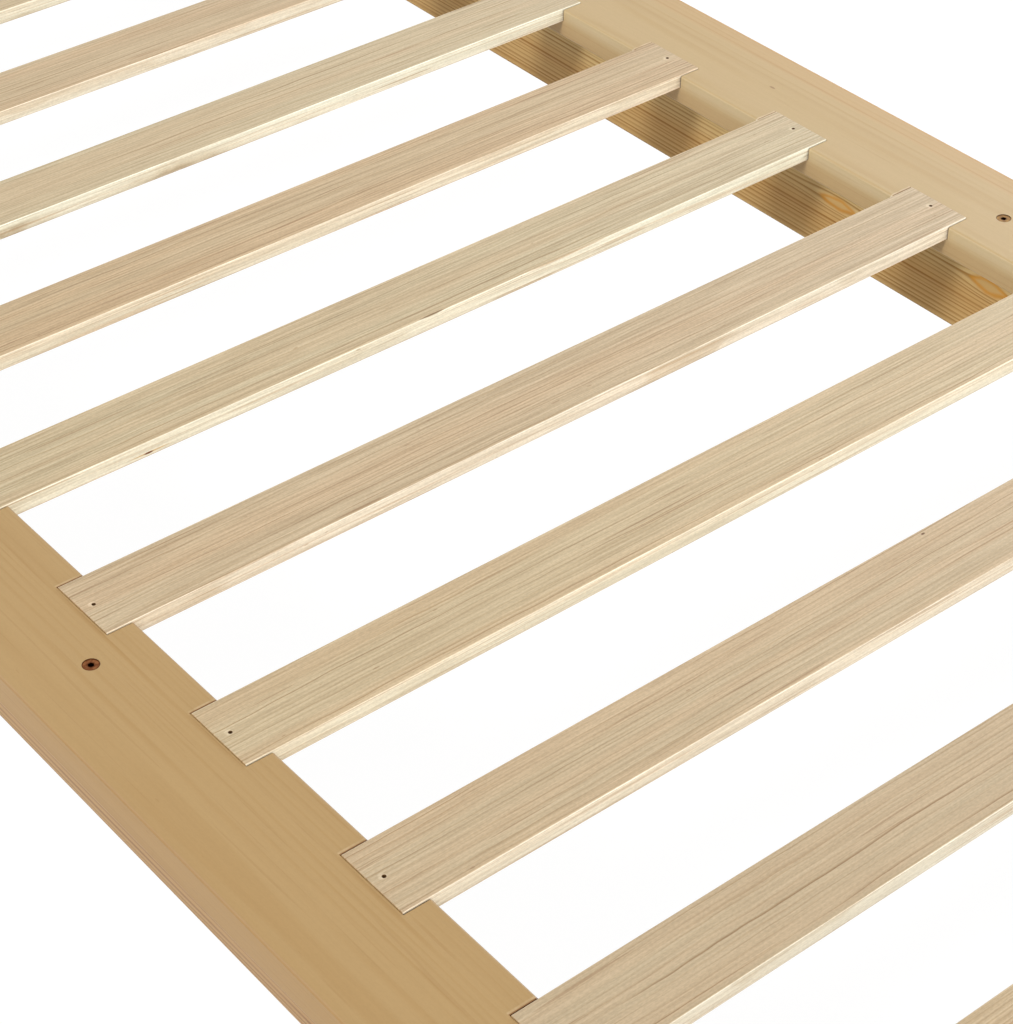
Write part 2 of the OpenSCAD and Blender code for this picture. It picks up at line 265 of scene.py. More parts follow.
# The planks' and rails' side tones darken or brighten whole sideways faces: partly their own tone,
# partly painted light and shade
LEFT_PLANK = {
    **FRAME_PINE,
    "side_tone_and_light": (0.885, 0.81, 0.64),
    "edge_wear_and_highlight": (1.0, 1.0, 1.22),
    "housings": 1.0,
}
RIGHT_PLANK = {**FRAME_PINE, "side_tone_and_light": (1.11, 1.20, 1.37), "housings": -1.0}
LEFT_RAIL = {**RAIL_PINE, "side_tone_and_light": (0.80, 0.69, 0.62)}
RIGHT_RAIL = {**RAIL_PINE, "side_tone_and_light": (1.05, 1.0, 0.97), "specular": 0.12, "coat": 0.03}

# How far apart two boards' patterns are drawn for each step of the seed
SEED_STEP = (3.17, 1.73, 2.39)
# How often each pattern repeats in a metre along, across and through a board
WANDER_GRAIN = (1.3, 3.0, 3.0)
RIPPLE_GRAIN = (13.0, 34.0, 34.0)
SHIVER_GRAIN = (48.0, 130.0, 130.0)
FIBRE_GRAIN = (26.0, 1100.0, 1100.0)
COARSE_GRAIN = (8.0, 420.0, 420.0)
SPECKLE_GRAIN = (420.0, 1000.0, 1000.0)
DASH_GRAIN = (9.0, 420.0, 420.0)
FLECK_GRAIN = (110.0, 420.0, 420.0)
STREAK_GRAIN = (5.0, 0.0, 620.0)
PORE_GRAIN = (700.0, 1500.0, 1500.0)
WEAR_GRAIN = (14.0, 60.0, 60.0)
KNOT_GRAIN = (60.0, 90.0, 90.0)
ARRIS_HIGHLIGHT_GRAIN = (90.0, 90.0, 90.0)
GLOSS_GRAIN = (6.0, 60.0, 60.0)
# How fast the rings' spacing, strength and fading change, per ring and, for fading, per metre too
SPACING_GRAIN = (0.35, 1.0, 1.0)
STRENGTH_GRAIN = (0.73, 1.0, 1.0)
FADING_GRAIN = (7.0, 0.8, 1.0)
RING_UNEVENNESS = 2.4
# Where in a ring its latewood starts, is full, starts to fade and ends
LATEWOOD = (0.35, 0.86, 0.88, 1.0)
DARK_LATEWOOD = (0.74, 0.88, 0.92, 1.0)
# Spans of noise over which a pattern sets in, and what is left of it below them
RING_STRENGTH = (0.28, 0.70)
RING_FADING = (0.36, 0.62)
DARK_STRENGTH = (0.56, 0.66)
DARK_FADING = (0.40, 0.56)
DARK_LEFT = 0.15
BAND_SPAN = (0.40, 0.60)
DASH_SPAN = (0.75, 0.81)
FLECK_SPAN = (0.855, 0.89)
STREAK_SPAN = (0.54, 0.66)
WEAR_SPAN = (0.30, 0.62)
LEAST_WEAR = 0.35
# How squarely a face points sideways or endways to count as a side or an end
SIDE_TURN = (0.55, 0.85)
END_TURN = (0.6, 0.9)
# Share of an edge's reach over which its tone is full
EDGE_FULL = 0.125
# Half width of the step from heartwood to sapwood
SAPWOOD_EDGE = 0.005
# Share of the fine fibres, the rest being coarse ones
FINE_FIBRES = 0.45
# How much more the fibres change green and blue than red
FIBRE_HUE = (1.0, 1.18, 1.42)
# Tone of the streaks on a slat's sides and of the painted shade along their lower arris, and how
# high that shade reaches
STREAK_AND_SHADE_TINT = (0.80, 0.68, 0.58)
UNDER_EDGE_SHADE = (0.0004, 0.0012)
END_TINT = (1.0, 0.88, 0.72)
# How far a board's gloss varies, and the parts of its relief that fibres and rings make
GLOSS_SPREAD = 0.16
FIBRE_RELIEF = 0.7
RING_RELIEF = 0.5
COAT_ROUGHNESS = 0.3

# Knots: tones and depths of their rim and heart, where both lie, 1 being a smooth rim, how
# ragged they are, and how fast the rings straighten out away from them
KNOT_RIM = (0.490, 0.205, 0.020)
KNOT_RIM_DEPTH = 0.75
KNOT_RIM_SPAN = (0.84, 1.18, 1.18, 1.56)
KNOT_HEART = (0.500, 0.300, 0.100)
KNOT_HEART_DEPTH = 0.85
KNOT_HEART_SPAN = (1.10, 1.30)
KNOT_RAGGEDNESS = 0.5
KNOT_PULL = 0.35

# Shares of a mark's size within which it is full and past which it is gone
MARK_SPAN = (0.5, 1.0)

# Drilled holes: painted shade on their walls, and a painted highlight on the wood to one side of
# their mouths, how far it reaches and how far it is shifted
HOLE_SHADE = (0.105, 0.050, 0.014)
HOLE_EDGE = 0.0001
HOLE_HIGHLIGHT = (1.26, 1.32, 1.42)
HOLE_HIGHLIGHT_REACH = 0.0020
HOLE_HIGHLIGHT_SHIFT = (-0.0010, 0.0008)


class Board(Shader):
    """Wood of one board, with places measured from its middle and patterns drawn by its seed."""

    def __init__(self, node, grain, seed):
        super().__init__(bpy.data.materials.new("pine_" + node))
        middle, half = middle_and_half(node)
        along_axis, side_axis, face_axis = GRAIN_AXES[grain]
        placed = self.separate(self.vector("SUBTRACT", self.object_position(), tuple(middle)))
        self.along = placed[along_axis]
        self.across = placed[side_axis]
        self.through = placed[face_axis]
        self.half_along = half[along_axis]
        self.half_across = half[side_axis]
        self.half_through = half[face_axis]
        self.place = self.combine(self.along, self.across, self.through)
        self.seed = float(seed)
        self.drawn_place = self.vector("ADD", self.place, tuple(step * seed for step in SEED_STEP))
        facing = self.separate(self.normal())
        self.side = self.ease(self.math("ABSOLUTE", facing[side_axis]), *SIDE_TURN)
        self.end = self.ease(self.math("ABSOLUTE", facing[along_axis]), *END_TURN)

    def pattern(self, grain, detail=2.0, rough=0.5, output=0):
        """Noise over the board that differs from board to board."""
        return self.noise(self.drawn_place, grain, detail, rough, output)

    def edge_share(self, value, half, reach):
        """1 at the face that lies half from the middle, and 0 from this reach inside it."""
        return self.ease(self.math("ABSOLUTE", value), half - reach, half - reach * EDGE_FULL)


def lead_round_knots(board, knots):
    """Distance from each knot, 1 at its rim, and the height in the board that the rings see."""
    through = board.through
    distances = []
    for knot in knots:
        at_through = knot[1]
        from_along, from_through = board.spot_offsets(board.along, through, *knot)
        pointed = board.math("ABSOLUTE", from_through)
        eye = board.math("SQRT", board.add(board.times(from_along, from_along), pointed))
        distances.append(eye)
        squared = board.sum_of_squares(from_along, from_through)
        pull = board.math("EXPONENT", board.times(squared, -KNOT_PULL))
        kept = board.times(board.add(through, -at_through), board.math("SUBTRACT", 1.0, pull))
        through = board.add(kept, at_through)
    return distances, through


def grow_rings(board, look, pith, through):
    """Distance from a pith that wanders along the board, its rings' latewood and darkest lines."""
    wander = board.vector("SUBTRACT", board.pattern(WANDER_GRAIN, output=1), (0.5, 0.5, 0.5))
    wander = board.separate(wander)
    ripple = board.add(board.pattern(RIPPLE_GRAIN), -0.5)
    shiver = board.add(board.pattern(SHIVER_GRAIN, detail=1.0), -0.5)
    sideways = board.plus_times(board.across, wander[0], look["wander"][0])
    sideways = board.plus_times(sideways, ripple, look["ripple"][0])
    sideways = board.plus_times(sideways, shiver, look["ripple"][1])
    upwards = board.plus_times(through, wander[1], look["wander"][1])
    from_pith = board.sum_of_squares(board.add(sideways, -pith[0]), board.add(upwards, -pith[1]))
    radius = board.math("SQRT", from_pith)

    count = board.math("DIVIDE", radius, look["ring_step"])
    spacing = board.noise(board.combine(count, 0.0, board.seed), SPACING_GRAIN)
    count = board.plus_times(count, spacing, RING_UNEVENNESS)
    phase = board.math("FRACT", count)
    number = board.math("FLOOR", count)
    strong = board.noise(board.combine(number, board.seed, 0.0), STRENGTH_GRAIN, detail=0.0)
    fade = board.noise(board.combine(board.along, count, board.seed), FADING_GRAIN, detail=1.0)

    line = board.hump(phase, *LATEWOOD)
    line = board.times(line, board.ease(strong, *RING_STRENGTH, look["ring_even"], 1.0))
    line = board.times(line, board.ease(fade, *RING_FADING, look["ring_fade"], 1.0))
    dark_line = board.hump(phase, *DARK_LATEWOOD)
    dark_line = board.times(dark_line, board.ease(strong, *DARK_STRENGTH))
    dark_line = board.times(dark_line, board.ease(fade, *DARK_FADING, DARK_LEFT, 1.0))
    return radius, line, dark_line


def grow_fibres(board):
    """Fine and coarse fibres, from 0 to 1."""
    fine = board.pattern(FIBRE_GRAIN, rough=0.6)
    coarse = board.pattern(COARSE_GRAIN)
    return board.add(board.times(fine, FINE_FIBRES), board.times(coarse, 1.0 - FINE_FIBRES))


def paint_ground(board, look, radius, heart):
    """Broad lengthwise bands of a pinker tone, and pale sapwood farther out than the heart."""
    band = board.ease(board.pattern(look["band"], rough=0.55), *BAND_SPAN)
    colour = board.mix(band, rgba(look["early"]), rgba(look["blush"]))
    sapwood = board.ease(radius, heart - SAPWOOD_EDGE, heart + SAPWOOD_EDGE)
    return board.tinted_by(sapwood, colour, look["sap_tint"])


def paint_rings(board, look, line, dark_line, colour):
    """Latewood lines, weaker on the board's sides, and over them the few dark rings."""
    depth = board.ease(board.side, 0.0, 1.0, 1.0, look["side_lines"])
    line_depth = board.times(board.times(line, depth), look["ring_depth"])
    colour = board.tinted_by(line_depth, colour, look["line"])
    dark_depth = board.times(board.times(dark_line, depth), look["dark_depth"])
    return board.tinted_by(dark_depth, colour, look["dark_ring"])


def paint_fibres(board, look, fibres, colour):
    """Fibres, speckle, thin dark dashes and short flecks."""
    pale = [1.0 + look["fibre_depth"] * share for share in FIBRE_HUE]
    dark = [1.0 - look["fibre_depth"] * share for share in FIBRE_HUE]
    fibre_tint = board.mix(board.ease(fibres, *NOISE_SPAN), rgba(dark), rgba(pale))
    colour = board.tinted(colour, fibre_tint)
    tones = (1.0 - look["speckle_depth"], 1.0 + look["speckle_depth"])
    speckle = board.ease(board.pattern(SPECKLE_GRAIN, detail=1.0), *NOISE_SPAN, *tones)
    colour = board.tinted(colour, board.grey(speckle))
    dash = board.ease(board.pattern(DASH_GRAIN, detail=0.0), *DASH_SPAN)
    fleck = board.ease(board.pattern(FLECK_GRAIN, detail=0.0), *FLECK_SPAN)
    dash_depth = board.times(board.math("MAXIMUM", dash, fleck), look["dash_depth"])
    return board.tinted_by(dash_depth, colour, look["dash"])


def paint_knots(board, distances, colour):
    """Orange-rimmed knots with a ragged outline."""
    for distance in distances:
        ragged = board.plus_times(distance, board.pattern(KNOT_GRAIN), KNOT_RAGGEDNESS)
        inside = board.times(board.ease(ragged, *KNOT_HEART_SPAN, 1.0, 0.0), KNOT_HEART_DEPTH)
        rim = board.times(board.hump(ragged, *KNOT_RIM_SPAN), KNOT_RIM_DEPTH)
        colour = board.mix(inside, colour, rgba(KNOT_HEART))
        colour = board.mix(rim, colour, rgba(KNOT_RIM))
    return colour


def paint_sides(board, look, colour):
    """Sides toned partly by their wood and partly by painted light, streaked, with painted shade at
    a slat's lower arris.
    """
    # Sideways faces take a tone that is partly their own and partly painted light
    colour = board.tinted_by(board.side, colour, look["side_tone_and_light"])
    streak = board.ease(board.pattern(STREAK_GRAIN, detail=1.0), *STREAK_SPAN)
    streak = board.times(board.times(streak, board.side), look["side_streaks"])
    colour = board.tinted_by(streak, colour, STREAK_AND_SHADE_TINT)
    # Painted shade along the lower arris of the sides
    heights = [height - board.half_through for height in UNDER_EDGE_SHADE]
    under = board.ease(board.through, *heights, 1.0, 0.0)
    under = board.times(board.times(under, board.side), look["under_edge_shade"])
    return board.tinted_by(under, colour, STREAK_AND_SHADE_TINT)


def paint_ends(board, look, colour):
    """Darker open grain on the board's ends."""
    pores = board.ease(board.pattern(PORE_GRAIN, detail=1.0), *NOISE_SPAN, *look["end_pores"])
    end_colour = board.tinted(board.tinted(colour, board.grey(pores)), rgba(END_TINT))
    return board.mix(board.end, colour, end_colour)


def paint_arrises(board, look, colour):
    """Long arrises, paler here and there, partly by wear and partly by a painted highlight."""
    reach = look["edge_reach"]
    at_side = board.edge_share(board.across, board.half_across, reach)
    at_face = board.edge_share(board.through, board.half_through, reach)
    wear = board.ease(board.pattern(WEAR_GRAIN), *WEAR_SPAN, LEAST_WEAR, 1.0)
    # Paler arris, partly wear and partly a painted highlight
    worn = board.times(board.times(at_side, at_face), wear)
    return board.tinted_by(worn, colour, look["edge_wear_and_highlight"])


def paint_sheen_drift(board, look, tint, colour):
    """Painted sheen that pales the board slowly from one end to the other, and the board's own
    tint.
    """
    far = board.ease(board.math("DIVIDE", board.along, board.half_along), -1.0, 1.0)
    near_tint, far_tint = look["sheen_drift"]
    sheen_drift = board.mix(far, rgba(near_tint), rgba(far_tint))
    return board.tinted(board.tinted(colour, sheen_drift), rgba(tint))


def paint_marks(board, marks, colour):
    """Resin pockets, splinters, flecks and streaks at their own places."""
    for at, half, tint, depth in marks:
        offset = board.vector("DIVIDE", board.vector("SUBTRACT", board.place, at), half)
        share = board.ease(board.length(offset), *MARK_SPAN, depth, 0.0)
        colour = board.tinted_by(share, colour, tint)
    return colour


def paint_holes(board, holes, colour):
    """Painted shade on the walls of drilled holes, with a painted highlight on the wood to one side
    of their mouths.
    """
    for at_along, at_across, radius, highlight_share in holes:
        distance = board.spot_distance(board.along, board.across, at_along, at_across)
        highlight_place = (at_along + HOLE_HIGHLIGHT_SHIFT[0], at_across + HOLE_HIGHLIGHT_SHIFT[1])
        highlight_distance = board.spot_distance(board.along, board.across, *highlight_place)
        # Painted highlight beside the hole's mouth
        hole_highlight = board.ease(highlight_distance, radius, radius + HOLE_HIGHLIGHT_REACH, 1.0, 0.0)
        colour = board.tinted_by(board.times(hole_highlight, highlight_share), colour, HOLE_HIGHLIGHT)
        # Painted shade on the hole's walls
        wall = board.ease(distance, radius, radius + HOLE_EDGE, 1.0, 0.0)
        colour = board.mix(wall, colour, rgba(HOLE_SHADE))
    return colour


# Slats and side planks as they are in the frame, and the gaps round a slat in its housing
slat_nodes = sorted(name for name in nodes if name.startswith("slat_") and name != "slat_pins")
slat_middle, slat_half = middle_and_half(slat_nodes[0])
next_slat_middle = middle_and_half(slat_nodes[1])[0]
plank_middle, plank_half = middle_and_half("side_plank_right")
SLAT_SIDE_GAP = 0.001
SLAT_END_GAP = 0.0003
# Slat housings: their step along a side plank, half their width, how far to each side of the
# plank's middle they go, and how far inwards of its centre line they end
housing_step = abs(next_slat_middle[1] - slat_middle[1])
housing_half = slat_half[1] + SLAT_SIDE_GAP
housing_reach = len(slat_nodes) / 2 * housing_step
housing_end = plank_middle[0] - slat_half[0] - SLAT_END_GAP
# Tones of the painted shadow of a wider gap and of the painted highlight on the arris past it, and
# how far past the housing each of them lies
GAP_SHADOW = (0.55, 0.37, 0.23)
GAP_SHADOW_DEPTH = 0.9
GAP_SHADOW_SPAN = (-0.0001, 0.0, 0.0006, 0.0009)
ARRIS_HIGHLIGHT = (1.27, 1.38, 1.75)
ARRIS_HIGHLIGHT_SPAN = (0.0008, 0.0012, 0.0021, 0.0029)
ARRIS_HIGHLIGHT_NOISE_SPAN = (0.35, 0.60)
LEAST_ARRIS_HIGHLIGHT = 0.40
HOUSING_FADE = 0.0006


def paint_housings(board, side, colour):
    """Head-side edges of the housings: painted shadow of a wider gap, and a painted highlight on
    the arris past it, broken here and there.
    """
    if not side:
        return colour
    nearest = board.math("ROUND", board.math("DIVIDE", board.along, housing_step))
    local = board.plus_times(board.along, nearest, -housing_step)
    past = board.add(local, -housing_half)
    inward = board.times(board.across, side)
    within = board.ease(inward, housing_end - HOUSING_FADE, housing_end)
    in_reach = board.math("LESS_THAN", board.math("ABSOLUTE", board.along), housing_reach)
    within = board.times(within, in_reach)
    uneven = board.ease(board.pattern(ARRIS_HIGHLIGHT_GRAIN), *ARRIS_HIGHLIGHT_NOISE_SPAN, LEAST_ARRIS_HIGHLIGHT, 1.0)
    # Painted highlight on the arris past the housing
    lit_arris = board.times(board.times(board.hump(past, *ARRIS_HIGHLIGHT_SPAN), uneven), within)
    colour = board.tinted_by(lit_arris, colour, ARRIS_HIGHLIGHT)
    # Painted shadow of a wider gap at the housing's edge
    shadowed_gap = board.times(board.hump(past, *GAP_SHADOW_SPAN), within)
    return board.tinted_by(board.times(shadowed_gap, GAP_SHADOW_DEPTH), colour, GAP_SHADOW)


def wood(node, grain, look, seed, pith, heart=1.0, tint=WHITE, knots=(), holes=(), marks=()):
    """Planed pine for one board: solid growth rings round the pith, fibres, dashes and knots.

    The pith lies this far from the board's middle, across and through it, in metres.
    Rings farther from it than heart are pale sapwood. A knot is its place along and through
    the board and its half sizes there, a hole its place along and across, its radius, and
    the share of the painted highlight beside its mouth. A mark is its place and half sizes
    along, across and through the board, its tint and its depth.
    """
    board = Board(node, grain, seed)
    knot_distances, through = lead_round_knots(board, knots)
    radius, line, dark_line = grow_rings(board, look, pith, through)
    fibres = grow_fibres(board)
    colour = paint_ground(board, look, radius, heart)
    colour = paint_rings(board, look, line, dark_line, colour)
    colour = paint_fibres(board, look, fibres, colour)
    colour = paint_knots(board, knot_distances, colour)
    colour = paint_sides(board, look, colour)
    colour = paint_ends(board, look, colour)
    colour = paint_arrises(board, look, colour)
    colour = paint_sheen_drift(board, look, tint, colour)
    colour = paint_marks(board, marks, colour)
    colour = paint_housings(board, look["housings"], colour)
    colour = paint_holes(board, holes, colour)
    least_roughness = look["roughness"] - GLOSS_SPREAD / 2
    height = board.add(board.times(fibres, FIBRE_RELIEF), board.times(line, RING_RELIEF))
    return board.surface(
        Base_Color=colour,
        Roughness=board.plus_times(least_roughness, board.pattern(GLOSS_GRAIN), GLOSS_SPREAD),
        Normal=board.bump(height, look["relief"]),
        Coat_Weight=look["coat"],
        Coat_Roughness=COAT_ROUGHNESS,
        Specular_IOR_Level=look["specular"],
    )


# Each slat's own tint, where it has one
SLAT_TINTS = {
    "slat_02": (0.985, 0.96, 0.955),
    "slat_03": (1.01, 1.04, 1.06),
    "slat_04": (0.97, 0.93, 0.90),
    "slat_05": (1.00, 1.03, 1.04),
    "slat_06": (1.00, 0.98, 0.99),
    "slat_07": (1.03, 1.03, 1.02),
    "slat_08": (1.00, 0.99, 1.00),
    "slat_09": (0.96, 0.96, 0.98),
}
# How much stronger the fibres of some slats are
SLAT_CONTRAST = {
    "slat_04": 1.35,
    "slat_05": 1.30,
    "slat_06": 1.30,
    "slat_07": 1.10,
    "slat_09": 0.70,
}
# Least distance of a slat's pith across and through it, and how that grows from slat to slat
SLAT_PITH = (0.16, 0.02)
SLAT_PITH_STEP = (0.013, 0.004)
SLAT_PITH_CYCLE = 5
# Pin holes: distance from the slat's end, radius, and the share of the painted highlight beside
# their mouths
PIN_INSET = 0.009
PIN_HOLE_RADIUS = 0.00145
PIN_HOLE_HIGHLIGHT = 0.9
# Marks of single boards: a resin pocket with its dark heart and a splinter, a fleck, the paler
# upper part of a rail, and a plank's outer bands with a fleck
END_TO_END = 3.0
MARKS = {
    "slat_05": (
        ((-0.2650, -slat_half[1], -0.0032), (0.0210, 0.0020, 0.0008), (0.82, 0.60, 0.36), 0.9),
        ((-0.2665, -slat_half[1], -0.0033), (0.0048, 0.0020, 0.0011), (0.22, 0.085, 0.012), 1.0),
        ((-0.0120, -0.02900, 0.0061), (0.0150, 0.0012, 0.0012), (0.36, 0.28, 0.19), 0.95),
    ),
    "slat_08": (
        ((0.0820, 0.0258, slat_half[2]), (0.0021, 0.0012, 0.0020), (0.22, 0.12, 0.04), 0.95),
    ),
    "side_rail_right": (
        ((0.0, 0.0, 0.0447), (END_TO_END, 0.3, 0.0550), (1.11, 1.28, 1.52), 1.0),
    ),
    "side_plank_right": (
        ((0.0, 0.0370, plank_half[2]), (END_TO_END, 0.0140, 0.0030), (1.02, 0.965, 0.93), 0.9),
        ((0.0, 0.0475, plank_half[2]), (END_TO_END, 0.0040, 0.0040), (1.0, 0.86, 0.66), 0.9),
        ((0.0, 0.0300, plank_half[2]), (END_TO_END, 0.0009, 0.0030), (0.93, 0.86, 0.76), 0.8),
        ((0.2210, 0.0, plank_half[2]), (0.0040, 0.0015, 0.0020), (0.55, 0.45, 0.35), 0.8),
    ),
}


def dress_slats():
    """Bare pine for each slat, with its pith on the other side of it than the next slat's."""
    pin_along = slat_half[0] - PIN_INSET
    pin_ends = (-pin_along, pin_along)
    pin_holes = [(along, 0.0, PIN_HOLE_RADIUS, PIN_HOLE_HIGHLIGHT) for along in pin_ends]
    for number, node in enumerate(slat_nodes, start=1):
        pith_side = 1.0 if number % 2 else -1.0
        pith_across = pith_side * (SLAT_PITH[0] + SLAT_PITH_STEP[0] * number)
        pith_through = SLAT_PITH[1] + SLAT_PITH_STEP[1] * (number % SLAT_PITH_CYCLE)
        fibre_depth = SLAT_PINE["fibre_depth"] * SLAT_CONTRAST.get(node, 1.0)
        look = {**SLAT_PINE, "fibre_depth": fibre_depth}
        own = {"tint": SLAT_TINTS.get(node, WHITE), "marks": MARKS.get(node, ())}
        pith = (pith_across, pith_through)
        dress(node, wood(node, "X", look, number, pith, holes=pin_holes, **own))


# Plank bolts: places on one quarter of the bed, and the radius of their heads' recesses
SIDE_BOLT_X = 0.4235
MIDDLE_BOLT_Y = 0.04855
BOLT_PLACES = ((SIDE_BOLT_X, MIDDLE_BOLT_Y), (SIDE_BOLT_X, 0.83755), (0.2, 0.96025))
BOLT_RECESS_RADIUS = 0.00592

RIGHT_RAIL_KNOTS = ((-0.0504, 0.0112, 0.018, 0.0062), (0.1220, 0.0073, 0.020, 0.0045))
FRAME_BOARDS = {
    "side_plank_left": {"grain": "Y", "look": LEFT_PLANK, "seed": 21, "pith": (-0.030, -0.060)},
    "side_plank_right": {
        "grain": "Y", "look": RIGHT_PLANK, "seed": 22, "pith": (-0.020, -0.070), "heart": 0.0785,
    },
    "head_plank": {
        "grain": "X", "look": FRAME_PINE, "seed": 23, "pith": (0.030, -0.065), "heart": 0.0900,
    },
    "foot_plank": {"grain": "X", "look": FRAME_PINE, "seed": 24, "pith": (-0.020, -0.060)},
    "side_rail_left": {"grain": "Y", "look": LEFT_RAIL, "seed": 25, "pith": (0.03, -0.14)},
    "side_rail_right": {
        "grain": "Y", "look": RIGHT_RAIL, "seed": 26, "pith": (0.03, -0.13), "heart": 0.1580,
        "knots": RIGHT_RAIL_KNOTS,
    },
    "head_rail": {"grain": "X", "look": RAIL_PINE, "seed": 27, "pith": (0.02, -0.15)},
    "foot_rail": {"grain": "X", "look": RAIL_PINE, "seed": 28, "pith": (-0.02, -0.12)},
    "leg_head_left": {"grain": "Z", "look": FRAME_PINE, "seed": 31, "pith": (0.06, 0.05)},
    "leg_head_right": {
        "grain": "Z", "look": FRAME_PINE, "seed": 32, "pith": (-0.07, 0.04), "heart": 0.0800,
    },
    "leg_foot_left": {
        "grain": "Z", "look": FRAME_PINE, "seed": 33, "pith": (0.05, -0.07), "heart": 0.0850,
    },
    "leg_foot_right": {"grain": "Z", "look": FRAME_PINE, "seed": 34, "pith": (-0.04, -0.06)},
}
SIDE_PLANKS = {"side_plank_left": -1.0, "side_plank_right": 1.0}


def dress_frame():
    """Lightly lacquered pine for the planks, rails and legs, with painted shade in the middle
    bolts' recesses.
    """
    for node, choices in FRAME_BOARDS.items():
        holes = ()
        if node in SIDE_PLANKS:
            recess_across = SIDE_PLANKS[node] * (SIDE_BOLT_X - plank_middle[0])
            holes = ((-MIDDLE_BOLT_Y, recess_across, BOLT_RECESS_RADIUS, 0.0),)
        dress(node, wood(node, holes=holes, marks=MARKS.get(node, ()), **choices))


# Fittings

# Plank bolts' heads: their height, radii over which painted shade darkens their rims and their
# sockets' rims, and the tones of that shade, of the brassier heads to the right and of the painted
# shade inside the sockets
HEAD_TOP = 0.1996
HEAD_RIM = (0.0050, 0.0057)
SOCKET_RIM = (0.0024, 0.0034)
SOCKET_RIM_DEPTH = 0.75
RIM_SHADE = (0.50, 0.42, 0.34)
BRASS_TINT = (0.90, 1.28, 0.85)
BRASS_SPAN = (-0.1, 0.1)
SOCKET_SHADE = (0.045, 0.014, 0.004)
SOCKET_SHADE_SPAN = (0.00015, 0.0006)
# Plating: duller patches, fine scratches and how far they vary its roughness
PATCH_GRAIN = (260.0, 260.0, 260.0)
PATCH_SPAN = (0.42, 0.66)
SCRATCH_GRAIN = (3000.0, 3000.0, 600.0)
SCRATCH_SPREAD = 0.22
METAL_RELIEF = 0.00002


def bolt_head(shader, place, colour):
    """Plating of a plank bolt, with painted shade towards its rim and socket and inside the socket.
    """
    x, y, z = shader.separate(place)
    colour = shader.tinted_by(shader.ease(x, *BRASS_SPAN), colour, BRASS_TINT)
    from_middle, from_centre_line = shader.math("ABSOLUTE", y), shader.math("ABSOLUTE", x)
    nearest = 1.0
    for at_x, at_y in BOLT_PLACES:
        distance = shader.spot_distance(from_centre_line, from_middle, at_x, at_y)
        nearest = shader.math("MINIMUM", distance, nearest)
    # Painted shade towards the head's rim and the socket's rim
    rim = shader.ease(nearest, *HEAD_RIM)
    inner = shader.ease(nearest, *SOCKET_RIM, SOCKET_RIM_DEPTH, 0.0)
    colour = shader.tinted_by(shader.math("MAXIMUM", rim, inner), colour, RIM_SHADE)
    # Painted shade inside the socket
    depth = shader.add(HEAD_TOP, shader.times(z, -1.0))
    return shader.mix(shader.ease(depth, *SOCKET_SHADE_SPAN), colour, rgba(SOCKET_SHADE))


def plated(name, clean, worn, roughness, headed=False):
    """Plated steel with fine scratches, duller patches and worn spots."""
    s = Shader(bpy.data.materials.new(name))
    place = s.object_position()
    patch = s.noise(place, PATCH_GRAIN, detail=3.0, rough=0.6)
    scratch = s.noise(place, SCRATCH_GRAIN)
    colour = s.mix(s.ease(patch, *PATCH_SPAN), rgba(clean), rgba(worn))
    if headed:
        colour = bolt_head(s, place, colour)
    height = s.add(s.times(patch, 0.5), s.times(scratch, 0.5))
    return s.surface(
        Base_Color=colour,
        Metallic=1.0,
        Roughness=s.plus_times(roughness - SCRATCH_SPREAD / 2, scratch, SCRATCH_SPREAD),
        Normal=s.bump(height, METAL_RELIEF),
    )


BEECH_TONES = ((0.62, 0.42, 0.24), (0.52, 0.34, 0.19))
BEECH_GRAIN = (120.0, 120.0, 120.0)
BEECH_ROUGHNESS = (0.55, 0.68)
RAY_TONE = (0.33, 0.19, 0.10)
RAY_GRAIN = (500.0, 500.0, 1800.0)
RAY_SPAN = (0.62, 0.72)
RAY_DEPTH = 0.4


def beech(name):
    """Bare beech for the dowels, with short darker rays."""
    s = Shader(bpy.data.materials.new(name))
    place = s.object_position()
    tone = s.ease(s.noise(place, BEECH_GRAIN), *NOISE_SPAN)
    pale, dark = BEECH_TONES
    colour = s.mix(tone, rgba(pale), rgba(dark))
    ray = s.times(s.ease(s.noise(place, RAY_GRAIN, detail=1.0), *RAY_SPAN), RAY_DEPTH)
    colour = s.mix(ray, colour, rgba(RAY_TONE))
    return s.surface(Base_Color=colour, Roughness=s.ease(tone, 0.0, 1.0, *BEECH_ROUGHNESS))


SPARK_GRAIN = (2200.0, 2200.0, 2200.0)
SCUFF_GRAIN = (180.0, 180.0, 180.0)
SCUFF_SPAN = (0.52, 0.68)
SCUFF_DEPTH = 0.35
PLASTIC_ROUGHNESS = 0.42
PLASTIC_SPREAD = 0.2
PLASTIC_RELIEF = 0.00003


def moulded(name, base, pale):
    """Moulded plastic with a fine sparked texture and scuffs."""
    s = Shader(bpy.data.materials.new(name))
    place = s.object_position()
    spark = s.noise(place, SPARK_GRAIN)
    scuff = s.ease(s.noise(place, SCUFF_GRAIN, detail=3.0), *SCUFF_SPAN)
    colour = s.mix(s.times(scuff, SCUFF_DEPTH), rgba(base), rgba(pale))
    roughness = s.plus_times(PLASTIC_ROUGHNESS, spark, PLASTIC_SPREAD)
    return s.surface(Base_Color=colour, Roughness=roughness, Normal=s.bump(spark, PLASTIC_RELIEF))


# Platings: clean tone, worn tone and roughness
BRONZE = ((0.20, 0.085, 0.040), (0.27, 0.14, 0.070), 0.36)
PLANK_BRONZE = ((0.180, 0.058, 0.019), (0.300, 0.118, 0.042), 0.36)
ZINC = ((0.52, 0.53, 0.55), (0.40, 0.39, 0.37), 0.40)
